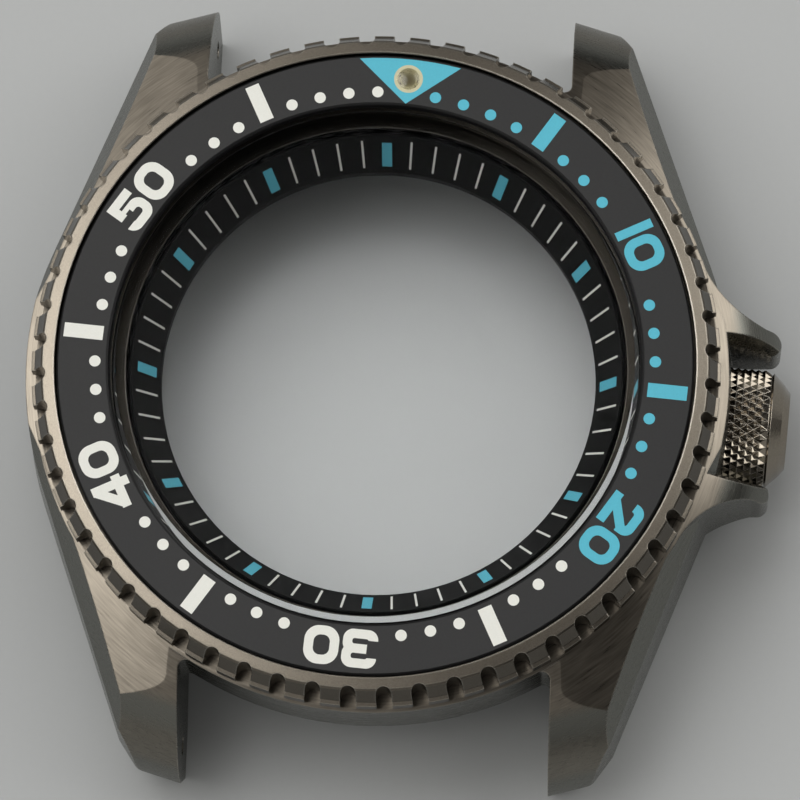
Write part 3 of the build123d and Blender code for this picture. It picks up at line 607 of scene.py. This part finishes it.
class WATCHCASE_OT_inner_parts(bpy.types.Operator):
    """Finish the seals, springs, pins, tube and post"""

    bl_idname = "watchcase.inner_parts"
    bl_label = "Finish inner parts"

    def execute(self, context):
        rubber_colour = (0.012, 0.012, 0.012)
        steel_colour = (0.52, 0.51, 0.49)
        rubber = grained_material(
            "black_rubber", rubber_colour, roughness=0.62, grain_size=0.12 * MM,
            relief=0.006 * MM)
        assign(rubber, "bezel_gasket", "case_back_gasket", "crown_tube_seal", "crown_gasket")
        steel = grained_material(
            "plain_steel", steel_colour, roughness=0.28, grain_size=0.1 * MM,
            relief=0.002 * MM, metallic=1.0)
        assign(steel, "bezel_click_spring", "click_spring_pins", "crown_tube", "crown_retainer",
               "crown_post", "crown_washer", "crown_spring")
        return {"FINISHED"}


class WATCHCASE_OT_stage(bpy.types.Operator):
    """Make the floor, the light and the camera"""

    bl_idname = "watchcase.stage"
    bl_label = "Make stage"

    def execute(self, context):
        make_floor(context.scene.stage_settings)
        make_world()
        make_lamp()
        make_camera(context.scene.stage_settings)
        return {"FINISHED"}


# Stage

def make_floor(settings):
    """Plain pale floor under the lugs."""
    reach = 2.0
    grain_size, grain_tone = 0.4 * MM, (0.985, 1.015)
    roughness, sheen = 0.8, 0.2

    corners = ((-reach, -reach), (reach, -reach), (reach, reach), (-reach, reach))
    mesh = bpy.data.meshes.new("floor")
    mesh.from_pydata([(x, y, CASE_LOW.z) for x, y in corners], [], [(0, 1, 2, 3)])
    floor = bpy.data.objects.new("floor", mesh)
    bpy.context.scene.collection.objects.link(floor)
    material, tree, shader = new_material("floor_paint")
    grain = use_group(tree, "Fine grain", grain_size=grain_size)
    tint = toned(tree, settings.floor, blend_values(tree, grain["Grain"], *grain_tone))
    tree.links.new(tint, shader.inputs["Base Color"])
    shader.inputs["Roughness"].default_value = roughness
    shader.inputs["Specular IOR Level"].default_value = sheen
    mesh.materials.append(material)


# Bright patches of the room: direction, cosines where one starts and is full, strength
ROOM_PATCHES = (
    ((-0.60, 0.60, 0.53), 0.75, 1.0, 0.9),
    ((-0.53, 0.11, 0.84), 0.86, 0.97, 4.2),
    ((0.66, 0.36, 0.66), 0.86, 0.98, 3.6),
    ((-0.25, -0.80, 0.55), 0.60, 1.0, 0.45),
)


def bright_patch(tree, place, direction, low, high, strength):
    """Smooth bright patch of the room about a direction."""
    towards = add(tree, "ShaderNodeVectorMath", operation="DOT_PRODUCT")
    tree.links.new(place, towards.inputs[0])
    towards.inputs[1].default_value = Vector(direction).normalized()
    return times(tree, ramp(tree, towards.outputs["Value"], low, high), strength)


def make_world():
    """Soft room: dim all round, with bright patches that the metal mirrors."""
    room_colour = (1.0, 0.99, 0.965, 1)
    patches_unmirrored, patches_mirrored = 0.4, 1.0
    ground_unmirrored, ground_mirrored = 0.18, 0.06
    through_glass = 0.5

    world = bpy.data.worlds.new("studio")
    bpy.context.scene.world = world
    world.use_nodes = True
    tree = world.node_tree
    background = tree.nodes["Background"]
    background.inputs["Color"].default_value = room_colour
    place = add(tree, "ShaderNodeTexCoord").outputs["Generated"]
    shine = bright_patch(tree, place, *ROOM_PATCHES[0])
    for patch in ROOM_PATCHES[1:]:
        shine = math_node(tree, "ADD", shine, bright_patch(tree, place, *patch))
    path = add(tree, "ShaderNodeLightPath").outputs
    mirrored = path["Is Glossy Ray"]
    shine = times(tree, shine, blend_values(tree, mirrored, patches_unmirrored, patches_mirrored))
    ground = blend_values(tree, mirrored, ground_unmirrored, ground_mirrored)
    level = math_node(tree, "ADD", shine, ground)
    level = times(
        tree, level, blend_values(tree, path["Is Transmission Ray"], 1.0, through_glass))
    tree.links.new(level, background.inputs["Strength"])


def make_lamp():
    """One soft key lamp, high over the 12 o'clock side. The metal mirrors the room alone."""
    away, distance = Vector((-0.16, 0.48, 0.86)).normalized(), 0.6
    width, depth, power = 0.46, 0.40, 1.15

    data = bpy.data.lights.new("key", "AREA")
    data.shape = "RECTANGLE"
    data.size, data.size_y = width, depth
    data.energy = power
    lamp = bpy.data.objects.new("key", data)
    lamp.visible_glossy = False
    turn = away.to_track_quat("Z", "Y").to_matrix().to_4x4()
    lamp.matrix_world = Matrix.Translation(away * distance) @ turn
    bpy.context.scene.collection.objects.link(lamp)


def make_camera(settings):
    """Camera at the photograph's viewing angle, a long way off with a long lens."""
    sensor_width, image_width, focal_pixels = 36.0, 800, 5915
    right_mm, down_mm = 1.50, 2.286
    nearest, farthest = 0.01, 10

    azimuth, elevation, roll = settings.azimuth, settings.elevation, settings.roll
    back = Vector((math.sin(azimuth) * math.cos(elevation),
                   -math.cos(azimuth) * math.cos(elevation), math.sin(elevation)))
    level = Vector((math.cos(azimuth), math.sin(azimuth), 0))
    upright = back.cross(level)
    right = level * math.cos(roll) + upright * math.sin(roll)
    up = upright * math.cos(roll) - level * math.sin(roll)
    data = bpy.data.cameras.new("camera")
    data.sensor_width = sensor_width
    data.lens = sensor_width * focal_pixels / image_width
    data.clip_start, data.clip_end = nearest, farthest
    camera = bpy.data.objects.new("camera", data)
    middle = Vector((0, 0, INSERT_HIGH.z))
    place = middle + right * right_mm * MM - up * down_mm * MM + back * settings.distance
    turn = Matrix((right, up, back)).transposed().to_4x4()
    camera.matrix_world = Matrix.Translation(place) @ turn
    bpy.context.scene.collection.objects.link(camera)
    bpy.context.scene.camera = camera


# Panel and registration

OPERATORS = (
    WATCHCASE_OT_case_middle,
    WATCHCASE_OT_bezel,
    WATCHCASE_OT_insert,
    WATCHCASE_OT_crystal,
    WATCHCASE_OT_chapter_ring,
    WATCHCASE_OT_crown,
    WATCHCASE_OT_inner_parts,
    WATCHCASE_OT_stage,
)
SETTINGS = {
    "case_finish": CaseFinish,
    "dial_finish": DialFinish,
    "stage_settings": StageSettings,
}


class WATCHCASE_PT_panel(bpy.types.Panel):
    """Lists the settings and the steps"""

    bl_label = "Watch Case"
    bl_idname = "WATCHCASE_PT_panel"
    bl_space_type = "VIEW_3D"
    bl_region_type = "UI"
    bl_category = "Watch Case"

    def draw(self, context):
        for group in SETTINGS:
            settings = getattr(context.scene, group)
            box = self.layout.box()
            for name in settings.bl_rna.properties.keys():
                if name not in ("rna_type", "name"):
                    box.prop(settings, name)
        for operator in OPERATORS:
            self.layout.operator(operator.bl_idname)


def register():
    """The settings, steps and panel become Blender's."""
    for name, group in SETTINGS.items():
        bpy.utils.register_class(group)
        setattr(bpy.types.Scene, name, bpy.props.PointerProperty(type=group))
    for operator in OPERATORS:
        bpy.utils.register_class(operator)
    bpy.utils.register_class(WATCHCASE_PT_panel)


def unregister():
    """They are taken out again."""
    bpy.utils.unregister_class(WATCHCASE_PT_panel)
    for operator in reversed(OPERATORS):
        bpy.utils.unregister_class(operator)
    for name, group in SETTINGS.items():
        delattr(bpy.types.Scene, name)
        bpy.utils.unregister_class(group)


def main():
    """Runs every step in order."""
    register()
    bpy.context.scene.view_settings.view_transform = "Standard"
    bpy.ops.watchcase.case_middle()
    bpy.ops.watchcase.bezel()
    bpy.ops.watchcase.insert()
    bpy.ops.watchcase.crystal()
    bpy.ops.watchcase.chapter_ring()
    bpy.ops.watchcase.crown()
    bpy.ops.watchcase.inner_parts()
    bpy.ops.watchcase.stage()


if __name__ == "__main__":
    main()
